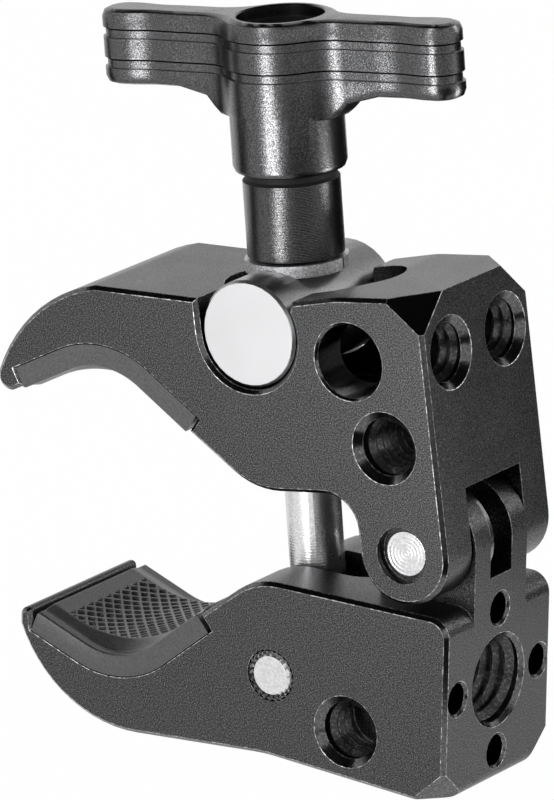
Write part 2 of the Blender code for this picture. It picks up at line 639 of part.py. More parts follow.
def make_pivot_pin():
    """The knurled pin that carries the screw's eye, flush with the jaw's far side."""
    half = BODY_WIDTH / 2
    near = -half + RUNNING_GAP
    shoulder = -half + PIVOT_HEAD_LENGTH
    edge = PIVOT_PIN_RADIUS - TRUNNION_CHAMFER
    profile = [(0, shoulder - FACE_GAP), (PIVOT_PIN_RADIUS, shoulder - FACE_GAP)]
    profile += [(PIVOT_PIN_RADIUS, half - TRUNNION_CHAMFER), (edge, half), (0, half)]
    pin_place = (PIVOT_X, 0, PIVOT_HEIGHT)
    pin = turned("rod_pivot_pin", profile, pin_place, "Y", BRIGHT_STEEL, rear_frame)
    points = []
    for i in range(2 * KNURL_TEETH):
        radius = PIVOT_HEAD_RADIUS - (KNURL_DEPTH if i % 2 else 0)
        angle = pi * i / KNURL_TEETH
        points.append((radius * cos(angle), radius * sin(angle)))
    head = slab("knurled_head", points, shoulder - near, None, rear_frame)
    head.location = (PIVOT_X, (near + shoulder) / 2, PIVOT_HEIGHT)
    combine(pin, head, "UNION")


def make_screw():
    """The screw with its pivot eye, and the stop ring near its end."""
    edge = ROD_RADIUS - ROD_END_CHAMFER
    profile = [(0, 0), (ROD_RADIUS, 0), (ROD_RADIUS, ROD_LENGTH - ROD_END_CHAMFER)]
    profile += [(edge, ROD_LENGTH), (0, ROD_LENGTH)]
    rod = turned("screw_rod", profile, (0, 0, 0), "Z", BRIGHT_STEEL, pivot_frame)
    half = EYE_WIDTH / 2
    eye = [(0, -half), (EYE_RADIUS, -half), (EYE_RADIUS, half), (0, half)]
    combine(rod, turned("eye", eye, (0, 0, 0), "Y", parent=pivot_frame), "UNION")
    bore, over = PIVOT_PIN_RADIUS + RUNNING_GAP, half + CUT_OVER
    profile = [(0, -over), (bore, -over), (bore, over), (0, over)]
    combine(rod, turned("eye_bore", profile, (0, 0, 0), "Y", parent=pivot_frame))
    inner = ROD_RADIUS + RUNNING_GAP
    low, high = -STOP_RING_SETBACK - STOP_RING_THICKNESS, -STOP_RING_SETBACK
    ring = [(inner, low), (STOP_RING_RADIUS, low), (STOP_RING_RADIUS, high), (inner, high)]
    turned("stop_ring", ring, (0, 0, ROD_LENGTH), "Z", SPRING_STEEL, pivot_frame)


def make_trunnion():
    """The cross pin in the upper jaw's seat, and the split washer on its spotface."""
    half = BODY_WIDTH / 2 - TRUNNION_INSET
    edge = TRUNNION_RADIUS - TRUNNION_CHAMFER
    profile = [(0, -half), (edge, -half), (TRUNNION_RADIUS, TRUNNION_CHAMFER - half)]
    profile += [(TRUNNION_RADIUS, half - TRUNNION_CHAMFER), (edge, half), (0, half)]
    trunnion = turned("trunnion", profile, (0, 0, 0), "Y", GREY_STEEL, trunnion_frame)
    top = TRUNNION_RADIUS + CUT_OVER
    spot = [(0, SPOTFACE_HEIGHT), (SPOTFACE_RADIUS, SPOTFACE_HEIGHT)]
    spot += [(SPOTFACE_RADIUS, top), (0, top)]
    combine(trunnion, turned("spotface", spot, parent=trunnion_frame))
    bore = ROD_RADIUS + ROD_CLEARANCE
    profile = [(0, -top), (bore, -top), (bore, top), (0, top)]
    combine(trunnion, turned("cross_bore", profile, parent=trunnion_frame))
    low = SPOTFACE_HEIGHT + FACE_GAP
    high = low + THRUST_WASHER_THICKNESS
    ring = [(bore, low), (THRUST_WASHER_RADIUS, low), (THRUST_WASHER_RADIUS, high), (bore, high)]
    washer = turned("thrust_washer", ring, material=BRIGHT_STEEL, parent=trunnion_frame)
    half_slit = THRUST_WASHER_SLIT / 2
    slit = box("slit", (0, -half_slit, 0), (2 * THRUST_WASHER_RADIUS, half_slit, 2 * high))
    slit.parent = trunnion_frame
    slit.rotation_euler = (0, 0, THRUST_WASHER_SLIT_ANGLE)
    combine(washer, slit)


def make_sleeve():
    """The threaded sleeve whose spigot is pressed up into the handle."""
    low = SPOTFACE_HEIGHT + THRUST_WASHER_THICKNESS + 2 * FACE_GAP
    bore = ROD_RADIUS + ROD_CLEARANCE
    shoulder = BOSS_BOTTOM - FACE_GAP
    groove = shoulder - SLEEVE_GROOVE_WIDTH
    spigot_top = HANDLE_TOP - SPIGOT_DEPTH
    ring_bottom = ROD_LENGTH - STOP_RING_SETBACK - STOP_RING_THICKNESS
    thread_top = ring_bottom - OPENING_TRAVEL - screw_line.length
    profile = [(bore, low), (SLEEVE_RADIUS - SLEEVE_EDGE, low), (SLEEVE_RADIUS, low + SLEEVE_EDGE)]
    profile += [(SLEEVE_RADIUS, groove - SLEEVE_EDGE), (SLEEVE_GROOVE_RADIUS, groove)]
    profile += [(SLEEVE_GROOVE_RADIUS, shoulder), (SPIGOT_RADIUS, shoulder)]
    profile += [(SPIGOT_RADIUS, spigot_top), (NUT_COUNTERBORE_RADIUS, spigot_top)]
    profile += [(NUT_COUNTERBORE_RADIUS, thread_top), (bore, thread_top)]
    turned("nut_sleeve", profile, material=SATIN_BLACK, parent=trunnion_frame)


def wing_plan():
    """One long side of the handle seen from above, from the +X tip to the -X tip."""
    tip_x = WING_SPAN / 2 - WING_TIP_RADIUS
    flare = WING_FLARE_X**2 + WING_WAIST**2 - HUB_RADIUS**2
    flare /= 2 * (HUB_RADIUS - WING_WAIST)
    centre_y = WING_WAIST + flare
    hub_angle = atan2(centre_y, WING_FLARE_X)
    side = arc(tip_x, 0, WING_TIP_RADIUS, 0, pi / 2)
    side += [(WING_WAIST_X, WING_WAIST)]
    side += arc(WING_FLARE_X, centre_y, flare, -pi / 2, hub_angle - pi)
    side += arc(0, 0, HUB_RADIUS, hub_angle, pi / 2)[1:]
    return side + [(-x, y) for x, y in side[-2::-1]]


def inset(plan, depth):
    """The plan's side moved inwards, square to its own line."""
    moved = []
    for i, (x, y) in enumerate(plan):
        before = plan[i - 1] if i else (plan[0][0], -plan[1][1])
        after = plan[i + 1] if i + 1 < len(plan) else (plan[-1][0], -plan[-2][1])
        line = Vector((after[0] - before[0], after[1] - before[1])).normalized()
        moved.append((x - line.y * depth, y + line.x * depth))
    return moved


def underside(x):
    """Height of the wing's underside: it drops in an S to the root beside the boss."""
    low = HANDLE_TOP - WING_DEPTH - WING_ROOT_DEPTH
    run = (abs(x) - WING_ROOT_X) / (2 * WING_ROOT_RADIUS)
    rise = (1 - cos(pi * min(1, max(0, run)))) / 2
    return low + WING_ROOT_DEPTH * rise


def make_handle():
    """The winged handle: a grooved plan with rounded edges, standing on a round boss."""
    plan = wing_plan()
    levels = []
    for step in range(3):
        angle = pi / 2 * step / 2
        levels.append((WING_EDGE * (1 - sin(angle)), WING_EDGE * (1 - cos(angle))))
    for top, bottom in GROOVE_BANDS:
        levels += [(0, top), (GROOVE_DEPTH, top), (GROOVE_DEPTH, bottom), (0, bottom)]
    bm = bmesh.new()
    rings = []
    for depth, drop in levels:
        side = inset(plan, depth)
        ring = side + [(x, -y) for x, y in side[-2:0:-1]]
        rings.append([bm.verts.new((x, y, HANDLE_TOP - drop)) for x, y in ring])
    for step in range(3):
        angle = pi / 2 * step / 2
        depth, lift = WING_EDGE * (1 - cos(angle)), WING_EDGE * (1 - sin(angle))
        side = inset(plan, depth)
        ring = side + [(x, -y) for x, y in side[-2:0:-1]]
        whole = plan + [(x, -y) for x, y in plan[-2:0:-1]]
        verts = []
        for (x, y), (plan_x, _) in zip(ring, whole):
            verts.append(bm.verts.new((x, y, underside(plan_x) + lift)))
        rings.append(verts)
    bm.faces.new(rings[0])
    for upper, lower in zip(rings, rings[1:]):
        for i in range(len(upper)):
            bm.faces.new((upper[i - 1], upper[i], lower[i], lower[i - 1]))
    last, count = rings[-1], len(plan)
    bm.faces.new((last[0], last[1], last[-1]))
    for i in range(1, count - 2):
        bm.faces.new((last[i], last[i + 1], last[-i - 1], last[-i]))
    bm.faces.new((last[count - 2], last[count - 1], last[count]))
    handle = add_object("wing_handle", bm, SATIN_BLACK, trunnion_frame)
    handle.rotation_euler = (0, 0, WING_YAW)

    boss = HUB_RADIUS - BOSS_STEP
    high = HANDLE_TOP - WING_DEPTH
    profile = [(0, BOSS_BOTTOM), (boss - BOSS_EDGE, BOSS_BOTTOM)]
    profile += [(boss - 0.3 * BOSS_EDGE, BOSS_BOTTOM + 0.3 * BOSS_EDGE)]
    profile += [(boss, BOSS_BOTTOM + BOSS_EDGE), (boss, high), (0, high)]
    combine(handle, turned("boss", profile, parent=trunnion_frame), "UNION")
    bore = SPIGOT_RADIUS + RUNNING_GAP
    over = HANDLE_TOP + CUT_OVER
    profile = [(0, BOSS_BOTTOM - CUT_OVER), (bore, BOSS_BOTTOM - CUT_OVER)]
    profile += [(bore, HANDLE_TOP - HANDLE_MOUTH), (bore + HANDLE_MOUTH, HANDLE_TOP)]
    profile += [(bore + HANDLE_MOUTH + CUT_OVER, over), (0, over)]
    combine(handle, turned("handle_bore", profile, parent=trunnion_frame))


make_lower_jaw()
make_upper_jaw()
pad("lower_pad", LOWER_BEND_X, LOWER_BEND_Z, LOWER_PAD_TILT, 1, rear_frame)
pad("upper_pad", UPPER_BEND_X, UPPER_BEND_Z, UPPER_PAD_TILT, -1, hinge_frame)
make_hinge()
make_pivot_pin()
make_screw()
make_trunnion()
make_sleeve()
make_handle()
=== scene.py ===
from math import cos, hypot, pi, radians, sin, tan

import bmesh
import bpy
from mathutils import Matrix, Vector
from mathutils.bvhtree import BVHTree


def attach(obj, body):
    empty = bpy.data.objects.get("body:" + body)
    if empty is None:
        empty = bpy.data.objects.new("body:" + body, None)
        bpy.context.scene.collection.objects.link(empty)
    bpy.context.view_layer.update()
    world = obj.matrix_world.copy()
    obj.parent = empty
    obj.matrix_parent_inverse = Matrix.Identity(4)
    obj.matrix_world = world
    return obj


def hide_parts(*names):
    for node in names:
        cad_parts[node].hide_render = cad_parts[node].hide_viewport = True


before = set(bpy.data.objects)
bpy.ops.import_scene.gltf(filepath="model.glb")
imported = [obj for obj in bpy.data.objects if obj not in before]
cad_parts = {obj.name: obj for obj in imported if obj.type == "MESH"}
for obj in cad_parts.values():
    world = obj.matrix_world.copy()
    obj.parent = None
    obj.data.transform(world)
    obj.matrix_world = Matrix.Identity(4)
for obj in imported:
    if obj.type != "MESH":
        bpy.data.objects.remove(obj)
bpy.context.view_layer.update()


# The photograph: a product shot on white, taken with a long lens from a little above,
# with the clamp's side face to the left of the picture and its hinge end to the right.
LENS_MM = 434.93
CAMERA_AT = (0.539365, -0.826587, 0.347650)
CAMERA_PITCH = radians(90 - 17.4638)
CAMERA_TURN = radians(33.1112)
CAMERA_ROLL = radians(1.0829)
NEAREST_SEEN = 0.01

camera_data = bpy.data.cameras.new("camera")
camera_data.lens = LENS_MM
camera_data.clip_start = NEAREST_SEEN
camera = bpy.data.objects.new("camera", camera_data)
bpy.context.scene.collection.objects.link(camera)
turn = Matrix.Rotation(CAMERA_TURN, 4, "Z") @ Matrix.Rotation(CAMERA_PITCH, 4, "X")
turn = turn @ Matrix.Rotation(CAMERA_ROLL, 4, "Z")
camera.matrix_world = Matrix.Translation(CAMERA_AT) @ turn
bpy.context.scene.camera = camera
bpy.context.scene.view_settings.view_transform = "Standard"


# The studio: a white world that the camera and the metal see at full white, and a pale
# floor that takes the clamp's soft shadow.
AMBIENT = 0.30
FLOOR_SIZE = 6.0
FLOOR_HEIGHT = -0.0002
PAPER_SHADE = 0.92
PAPER_ROUGHNESS = 0.9
PAPER_GLOW = 0.99
CLAMP_MIDDLE = Vector((0, 0, 0.04))
STRIP_HEIGHT = 0.0006
CARD_HEIGHT = 0.0005

world = bpy.data.worlds.new("studio")
bpy.context.scene.world = world
world.use_nodes = True
tree = world.node_tree
background = tree.nodes["Background"]
background.inputs["Color"].default_value = (1, 1, 1, 1)
rays = tree.nodes.new("ShaderNodeLightPath")
seen = tree.nodes.new("ShaderNodeMath")
seen.operation = "MAXIMUM"
tree.links.new(rays.outputs["Is Camera Ray"], seen.inputs[0])
tree.links.new(rays.outputs["Is Glossy Ray"], seen.inputs[1])
level = tree.nodes.new("ShaderNodeMapRange")
level.inputs["To Min"].default_value = AMBIENT
level.inputs["To Max"].default_value = 1.0
tree.links.new(seen.outputs[0], level.inputs["Value"])
tree.links.new(level.outputs["Result"], background.inputs["Strength"])


def deselect():
    """Leaves nothing selected, so that the next operator acts on its own piece."""
    if bpy.context.mode != "OBJECT":
        bpy.ops.object.mode_set(mode="OBJECT")
    bpy.ops.object.select_all(action="DESELECT")


deselect()
bpy.ops.mesh.primitive_plane_add(size=FLOOR_SIZE, location=(0, 0, FLOOR_HEIGHT))
floor = bpy.context.object
floor.name = "studio_floor"
paper = bpy.data.materials.new("floor_paper")
paper.use_nodes = True
tree = paper.node_tree
matte = tree.nodes["Principled BSDF"]
matte.inputs["Base Color"].default_value = (PAPER_SHADE, PAPER_SHADE, PAPER_SHADE, 1)
matte.inputs["Roughness"].default_value = PAPER_ROUGHNESS
glow = tree.nodes.new("ShaderNodeEmission")
mix = tree.nodes.new("ShaderNodeMixShader")
rays = tree.nodes.new("ShaderNodeLightPath")
share = tree.nodes.new("ShaderNodeMath")
share.operation = "MULTIPLY"
share.inputs[1].default_value = PAPER_GLOW
seen = tree.nodes.new("ShaderNodeMath")
seen.operation = "MAXIMUM"
tree.links.new(rays.outputs["Is Camera Ray"], seen.inputs[0])
tree.links.new(rays.outputs["Is Glossy Ray"], seen.inputs[1])
tree.links.new(seen.outputs[0], share.inputs[0])
tree.links.new(share.outputs[0], mix.inputs["Fac"])
tree.links.new(matte.outputs[0], mix.inputs[1])
tree.links.new(glow.outputs[0], mix.inputs[2])
tree.links.new(mix.outputs[0], tree.nodes["Material Output"].inputs["Surface"])
floor.data.materials.append(paper)


def area_lamp(name, place, size, watts):
    """A rectangular lamp, not yet turned."""
    lamp = bpy.data.lights.new(name, "AREA")
    lamp.shape = "RECTANGLE"
    lamp.size, lamp.size_y = size
    lamp.energy = watts
    holder = bpy.data.objects.new(name, lamp)
    bpy.context.scene.collection.objects.link(holder)
    holder.location = place
    return holder


def softbox(name, place, size, watts):
    """A large soft lamp aimed at the middle of the clamp."""
    holder = area_lamp(name, place, size, watts)
    aim = CLAMP_MIDDLE - Vector(place)
    holder.rotation_euler = aim.to_track_quat("-Z", "Y").to_euler()


softbox("key_softbox", (-0.10, -1.00, 0.45), (0.22, 0.80), 3.4)
softbox("side_softbox", (0.70, 0.62, 0.40), (0.20, 0.50), 2.2)


def floor_strip(name, heading, near, far, width, watts):
    """A strip lamp lying on the floor, which upright faces mirror as a narrow highlight."""
    middle = (near + far) / 2
    place = (middle * cos(heading), middle * sin(heading), STRIP_HEIGHT)
    holder = area_lamp(name, place, (far - near, width), watts)
    holder.rotation_euler = (pi, 0, heading)


floor_strip("front_strip", radians(-89), 0.15, 0.42, 0.072, 0.98)
floor_strip("rear_strip", radians(25), 0.14, 0.26, 0.050, 0.26)


def black_card(name, place, size, turn):
    """A black card that only reflections see, so that it darkens them from its side."""
    deselect()
    bpy.ops.mesh.primitive_plane_add(size=1, location=place, rotation=turn)
    card = bpy.context.object
    card.name = name
    card.scale = (*size, 1)
    card.visible_camera = False
    card.visible_diffuse = False
    card.visible_shadow = False
    card.data.materials.append(card_black)


card_black = bpy.data.materials.new("card_black")
card_black.use_nodes = True
matte = card_black.node_tree.nodes["Principled BSDF"]
matte.inputs["Base Color"].default_value = (0, 0, 0, 1)
matte.inputs["Roughness"].default_value = 1.0
black_card("overhead_card", (0, 0, 0.50), (1.2, 1.2), (0, 0, 0))
black_card("rear_card", (0.135, 0.20, 0.045), (0.30, 0.09), (pi / 2, 0, radians(-34)))
black_card("behind_card", (0.090, 0.138, CARD_HEIGHT), (0.15, 0.10), (0, 0, radians(57)))
black_card("back_card", (0.005, 0.21, CARD_HEIGHT), (0.14, 0.28), (0, 0, radians(-5)))
black_card("right_card", (0.264, -0.172, CARD_HEIGHT), (0.37, 0.30), (0, 0, radians(-33)))
black_card("near_card", (0.080, -0.052, CARD_HEIGHT), (0.07, 0.045), (0, 0, radians(-33)))
black_card("left_card", (-0.27, -0.075, CARD_HEIGHT), (0.36, 0.08), (0, 0, radians(16)))


# The jaws: two blocks of machined aluminium, blasted and anodised black to a fine grey
# speckle. Their chamfers and hole mouths were cut afterwards and are smoother, and a thin
# strip along their sharp edges is painted bright as a painted highlight.
GRAIN_DETAIL = 3
GRAIN_ROUGHNESS = 0.6
BROAD_SCALE = 180
BROAD_DETAIL = 2
WELD = 0.000002
FLAT_TURN = radians(0.5)


def surface(name, colours, grain, roughness, bump, metallic=0.0, gloss=0.5, fleck=(0.35, 0.65)):
    """A finish with fine grain in its colour, roughness and relief, from Object coordinates."""
    material = bpy.data.materials.new(name)
    material.use_nodes = True
    tree = material.node_tree
    shader = tree.nodes["Principled BSDF"]
    shader.inputs["Metallic"].default_value = metallic
    shader.inputs["Specular IOR Level"].default_value = gloss
    place = tree.nodes.new("ShaderNodeTexCoord")
    noise = tree.nodes.new("ShaderNodeTexNoise")
    noise.inputs["Scale"].default_value = 1 / grain
    noise.inputs["Detail"].default_value = GRAIN_DETAIL
    noise.inputs["Roughness"].default_value = GRAIN_ROUGHNESS
    tree.links.new(place.outputs["Object"], noise.inputs["Vector"])
    ramp = tree.nodes.new("ShaderNodeValToRGB")
    ramp.color_ramp.elements[0].position = fleck[0]
    ramp.color_ramp.elements[1].position = fleck[1]
    ramp.color_ramp.elements[0].color = (*colours[0], 1)
    ramp.color_ramp.elements[1].color = (*colours[1], 1)
    tree.links.new(noise.outputs["Fac"], ramp.inputs["Fac"])
    tree.links.new(ramp.outputs["Color"], shader.inputs["Base Color"])
    broad = tree.nodes.new("ShaderNodeTexNoise")
    broad.inputs["Scale"].default_value = BROAD_SCALE
    broad.inputs["Detail"].default_value = BROAD_DETAIL
    tree.links.new(place.outputs["Object"], broad.inputs["Vector"])
    spread = tree.nodes.new("ShaderNodeMapRange")
    spread.inputs["To Min"].default_value = roughness[0]
    spread.inputs["To Max"].default_value = roughness[1]
    tree.links.new(broad.outputs["Fac"], spread.inputs["Value"])
    tree.links.new(spread.outputs["Result"], shader.inputs["Roughness"])
    relief = tree.nodes.new("ShaderNodeBump")
    relief.inputs["Strength"].default_value = bump
    relief.inputs["Distance"].default_value = grain / 4
    tree.links.new(noise.outputs["Fac"], relief.inputs["Height"])
    tree.links.new(relief.outputs["Normal"], shader.inputs["Normal"])
    return material


def refined(name, node, material, body, sharp=28, highlight_edges=None, form=None):
    """A finished copy of a CAD node: welded, formed, its edges given a thin bright strip as a
    painted highlight, and its curves smooth.
    """
    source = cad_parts[node]
    piece = bpy.data.objects.new(name, source.data.copy())
    bpy.context.scene.collection.objects.link(piece)
    piece.data.transform(source.matrix_world)
    deselect()
    piece.select_set(True)
    bpy.context.view_layer.objects.active = piece
    bpy.ops.mesh.customdata_custom_splitnormals_clear()
    bpy.ops.object.mode_set(mode="EDIT")
    bpy.ops.mesh.select_all(action="SELECT")
    bpy.ops.mesh.remove_doubles(threshold=WELD)
    bpy.ops.mesh.normals_make_consistent(inside=False)
    if highlight_edges:
        bpy.ops.mesh.dissolve_limited(angle_limit=FLAT_TURN)
    bpy.ops.object.mode_set(mode="OBJECT")
    piece.data.materials.clear()
    piece.data.materials.append(material)
    if form:
        form(piece)
    # The bevel strip along the sharp edges takes the bright edge material: a painted highlight.
    if highlight_edges:
        skin = BVHTree.FromObject(piece, bpy.context.evaluated_depsgraph_get())
        piece.data.materials.append(highlight_edges)
        edge = piece.modifiers.new("edge", "BEVEL")
        edge.limit_method = "ANGLE"
        edge.angle_limit = radians(sharp)
        edge.width = WORN_WIDTH
        edge.segments = 1
        edge.use_clamp_overlap = False
        edge.material = 1
        bpy.ops.object.modifier_apply(modifier=edge.name)
        for vertex in piece.data.vertices:
            nearest, _, _, away = skin.find_nearest(vertex.co)
            if away > WORN_WIDTH:
                vertex.co = nearest
    bpy.ops.object.shade_smooth_by_angle(angle=radians(WORN_SHARP if highlight_edges else sharp))
    flats = piece.modifiers.new("flats", "WEIGHTED_NORMAL")
    flats.keep_sharp = True
    bpy.ops.object.modifier_apply(modifier=flats.name)
    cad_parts[node].data.materials.clear()
    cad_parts[node].data.materials.append(material)
    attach(piece, body)
    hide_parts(node)
    return piece


HINGE = Vector((0.02309, 0, 0.02688))
UPPER_LEAN = Matrix.Translation(HINGE) @ Matrix.Rotation(radians(-8.7), 4, "Y")
REAR_FACE = Matrix.Translation((0.02902, 0, 0))
SIDEWAYS = Vector((0, 1, 0))
REARWARDS = Vector((1, 0, 0))
LOWER_SIDE_HOLE = Vector((-0.01247, 0, 0.00587))
PIVOT_HOLE = Vector((-0.02215, 0, 0.01024))
STUD_HOLE = Vector((0, 0, 0.01143))
LOCATING_RING = 0.0080
LOWER_HOLES = [
    (LOWER_SIDE_HOLE, SIDEWAYS, 0.0040), (PIVOT_HOLE, SIDEWAYS, 0.0029),
    (STUD_HOLE, REARWARDS, 0.00523),
]
for spoke in ((0, 1, 0), (0, -1, 0), (0, 0, 1), (0, 0, -1)):
    LOWER_HOLES.append((STUD_HOLE + Vector(spoke) * LOCATING_RING, REARWARDS, 0.0020))
PIN_HOLE = Vector((0, 0, 0))
PLAIN_HOLE = Vector((-0.00409, 0, 0.0209))
UPPER_SIDE_HOLE = Vector((-0.00073, 0, 0.01163))
REAR_HOLES = (Vector((0.0056, -0.00534, 0.02103)), Vector((0.0056, 0.00534, 0.02103)))
UPPER_HOLES = (
    (PIN_HOLE, SIDEWAYS, 0.0031), (PLAIN_HOLE, SIDEWAYS, 0.0043),
    (UPPER_SIDE_HOLE, SIDEWAYS, 0.0040), (REAR_HOLES[0], REARWARDS, 0.0040),
    (REAR_HOLES[1], REARWARDS, 0.0040),
)
DEEPEST_REAR_HOLE = 0.009
CHAMFER_TURN = (0.4, 0.8)
WORN_WIDTH = 0.00004
WORN_SHARP = 20
ALONG_HOLE = 0.99
HOLE_SLACK = 0.00003

blasted = surface(
    "blasted_anodising", ((0.034, 0.034, 0.035), (0.215, 0.214, 0.218)), 0.000135,
    (0.30, 0.38), 0.35, metallic=1.0, fleck=(0.45, 0.69),
)
cut = surface(
    "cut_after_blasting", ((0.075, 0.075, 0.076), (0.20, 0.20, 0.205)), 0.00025,
    (0.15, 0.21), 0.15, metallic=1.0, fleck=(0.40, 0.75),
)
thread_black = surface(
    "thread_black", ((0.045, 0.045, 0.046), (0.24, 0.24, 0.245)), 0.00030,
    (0.22, 0.30), 0.25, metallic=0.8, fleck=(0.50, 0.80),
)
# Bright colour for the thread crests: a painted highlight.
thread_crest_painted_highlight = surface(
    "thread_crest_painted_highlight", ((0.22, 0.22, 0.22), (0.85, 0.85, 0.86)), 0.0006,
    (0.30, 0.38), 0.2, metallic=0.9, fleck=(0.40, 0.64),
)
# A bright metal colour for the thin bevel strip along the jaws' edges: a painted highlight.
painted_edge_highlight = surface(
    "painted_edge_highlight", ((0.14, 0.14, 0.14), (0.80, 0.80, 0.81)), 0.0005,
    (0.35, 0.45), 0.2, metallic=0.85, fleck=(0.44, 0.66),
)


def machined(piece, base, holes):
    """Gives a jaw's chamfers and facets, and its holes' walls, their smoother, cut finish."""
    piece.data.materials.append(cut)
    corners = [base.inverted() @ vertex.co for vertex in piece.data.vertices]
    for polygon in piece.data.polygons:
        normal = base.inverted().to_3x3() @ polygon.normal
        if polygon.material_index == 0 and CHAMFER_TURN[0] < abs(normal.y) < CHAMFER_TURN[1]:
            polygon.material_index = 2
        for middle, axis, radius in holes:
            if abs(normal.dot(axis)) > ALONG_HOLE:
                continue
            spokes = [corners[i] - middle for i in polygon.vertices]
            if axis.x and min(spoke.x for spoke in spokes) < -DEEPEST_REAR_HOLE:
                continue
            reach = max((spoke - axis * spoke.dot(axis)).length for spoke in spokes)
            if reach < radius + HOLE_SLACK and polygon.material_index == 0:
                polygon.material_index = 2


lower_jaw = refined(
    "lower_jaw_body", "lower_jaw", blasted, "lower_jaw", highlight_edges=painted_edge_highlight
)
machined(lower_jaw, REAR_FACE, LOWER_HOLES)
upper_jaw = refined(
    "upper_jaw_body", "upper_jaw", blasted, "upper_jaw", highlight_edges=painted_edge_highlight
)
machined(upper_jaw, UPPER_LEAN, UPPER_HOLES)


# The threads: tapped in both jaws and blackened, with their crests painted bright as a painted
# highlight. The solids have plain bores at the major diameter, and each thread stands in from
# there.
THREAD_STEPS = 28
CREST_SHARE = 1 / 16
CREST_SLACK = 0.00001
THREAD_SMOOTH = radians(35)
QUARTER_INCH = (0.003165, 0.00056, 0.00127)
THREE_EIGHTHS = (0.004755, 0.00072, 0.0015875)


def thread(name, body, base, mouth, axis, form, start, length):
    """An internal thread: a V ridge with a flat crest, wound down a hole from below its mouth."""
    major, depth, pitch = form
    turns = int(length / pitch)
    deselect()
    bpy.ops.mesh.primitive_circle_add(vertices=4, radius=1)
    piece = bpy.context.object
    piece.name = name
    crest = major - depth
    flat = pitch * CREST_SHARE
    ridge = ((major, -pitch / 2), (crest, -flat), (crest, flat), (major, pitch / 2))
    for vertex, (radius, height) in zip(piece.data.vertices, ridge):
        vertex.co = (radius, 0, height)
    wind = piece.modifiers.new("wind", "SCREW")
    wind.axis = "Z"
    wind.angle = 2 * pi
    wind.steps = wind.render_steps = THREAD_STEPS
    wind.iterations = turns - 1
    wind.screw_offset = pitch
    wind.use_smooth_shade = True
    bpy.ops.object.modifier_apply(modifier=wind.name)
    bpy.ops.object.mode_set(mode="EDIT")
    bpy.ops.mesh.select_all(action="SELECT")
    bpy.ops.mesh.remove_doubles(threshold=WELD / 2)
    bpy.ops.mesh.fill_holes(sides=0)
    bpy.ops.mesh.normals_make_consistent(inside=False)
    bpy.ops.object.mode_set(mode="OBJECT")
    bpy.ops.object.shade_smooth_by_angle(angle=THREAD_SMOOTH)
    piece.data.materials.append(thread_black)
    piece.data.materials.append(thread_crest_painted_highlight)
    # The crest faces take the bright crest material, a painted highlight.
    for polygon in piece.data.polygons:
        corners = [piece.data.vertices[i].co for i in polygon.vertices]
        if max(hypot(corner.x, corner.y) for corner in corners) < crest + CREST_SLACK:
            polygon.material_index = 1
    sink = Matrix.Translation((0, 0, -start - (turns - 0.5) * pitch))
    turn = axis.to_track_quat("Z", "X").to_matrix().to_4x4()
    piece.data.transform(base @ Matrix.Translation(mouth) @ turn @ sink)
    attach(piece, body)


HALF_WIDTH = 0.0104
MOUTH_DEPTH = 0.0009
STUD_MOUTH_DEPTH = 0.0006
SIDE_THREAD = 0.0053
REAR_THREAD = 0.0043
THROUGH_THREAD = 0.0190
STUD_THREAD = 0.0080

for side, label, rear_hole in ((-1, "near", REAR_HOLES[0]), (1, "far", REAR_HOLES[1])):
    thread(
        f"lower_side_thread_{label}", "lower_jaw", REAR_FACE,
        LOWER_SIDE_HOLE + SIDEWAYS * side * HALF_WIDTH, SIDEWAYS * side, QUARTER_INCH,
        MOUTH_DEPTH, SIDE_THREAD,
    )
    thread(
        f"rear_thread_{label}", "upper_jaw", UPPER_LEAN, rear_hole, REARWARDS, QUARTER_INCH,
        MOUTH_DEPTH, REAR_THREAD,
    )
thread(
    "upper_side_thread", "upper_jaw", UPPER_LEAN, UPPER_SIDE_HOLE - SIDEWAYS * HALF_WIDTH,
    -SIDEWAYS, QUARTER_INCH, MOUTH_DEPTH, THROUGH_THREAD,
)
thread(
    "stud_thread", "lower_jaw", REAR_FACE, STUD_HOLE, REARWARDS, THREE_EIGHTHS,
    STUD_MOUTH_DEPTH, STUD_THREAD,
)


# The pads: one moulding of black rubber, glued into the recess of each jaw. A smooth rim
# surrounds a raised field of crossing ridges with diamond pits between them.
PAD_BEND = radians(60.5)
PAD_TIP_RUN = 0.0129
PAD_ARM_RUN = 0.0138
PAD_GAP = 0.0001
PAD_TOP = 0.0021
PAD_EDGE = 0.01035
RECESS_EDGE = 0.00995
RIM_EDGE = 0.0092
FIELD_EDGE = 0.00735
RIM_RADIUS = 0.0090
FIELD_RADIUS = 0.0140
FIELD_RISE = 0.0003
BACK_RADIUS = 0.0110
DIAMOND_LENGTH = 0.0014
DIAMOND_WIDTH = 0.0017
PIT_DEPTH = 0.00065
PITS_EDGE = 0.0074
TIP_LAND = 0.0021
ARM_LAND = 0.0009
FIELD_FADE = 0.00025
PIT_SLOPE = (0.15, 0.27)
EDGE_ROUND = 0.0002
LONG_STEPS = 250
CROSS_STEPS = 190
PAD_SMOOTH = radians(40)
LOWER_SEAT = ((-0.04105, 0.00475), radians(20.7), 1)
UPPER_SEAT = ((-0.03519, 0.02301), radians(20.1), -1)

rubber = surface(
    "moulded_rubber", ((0.024, 0.024, 0.025), (0.082, 0.082, 0.083)), 0.00020,
    (0.28, 0.38), 0.5, gloss=1.0,
)


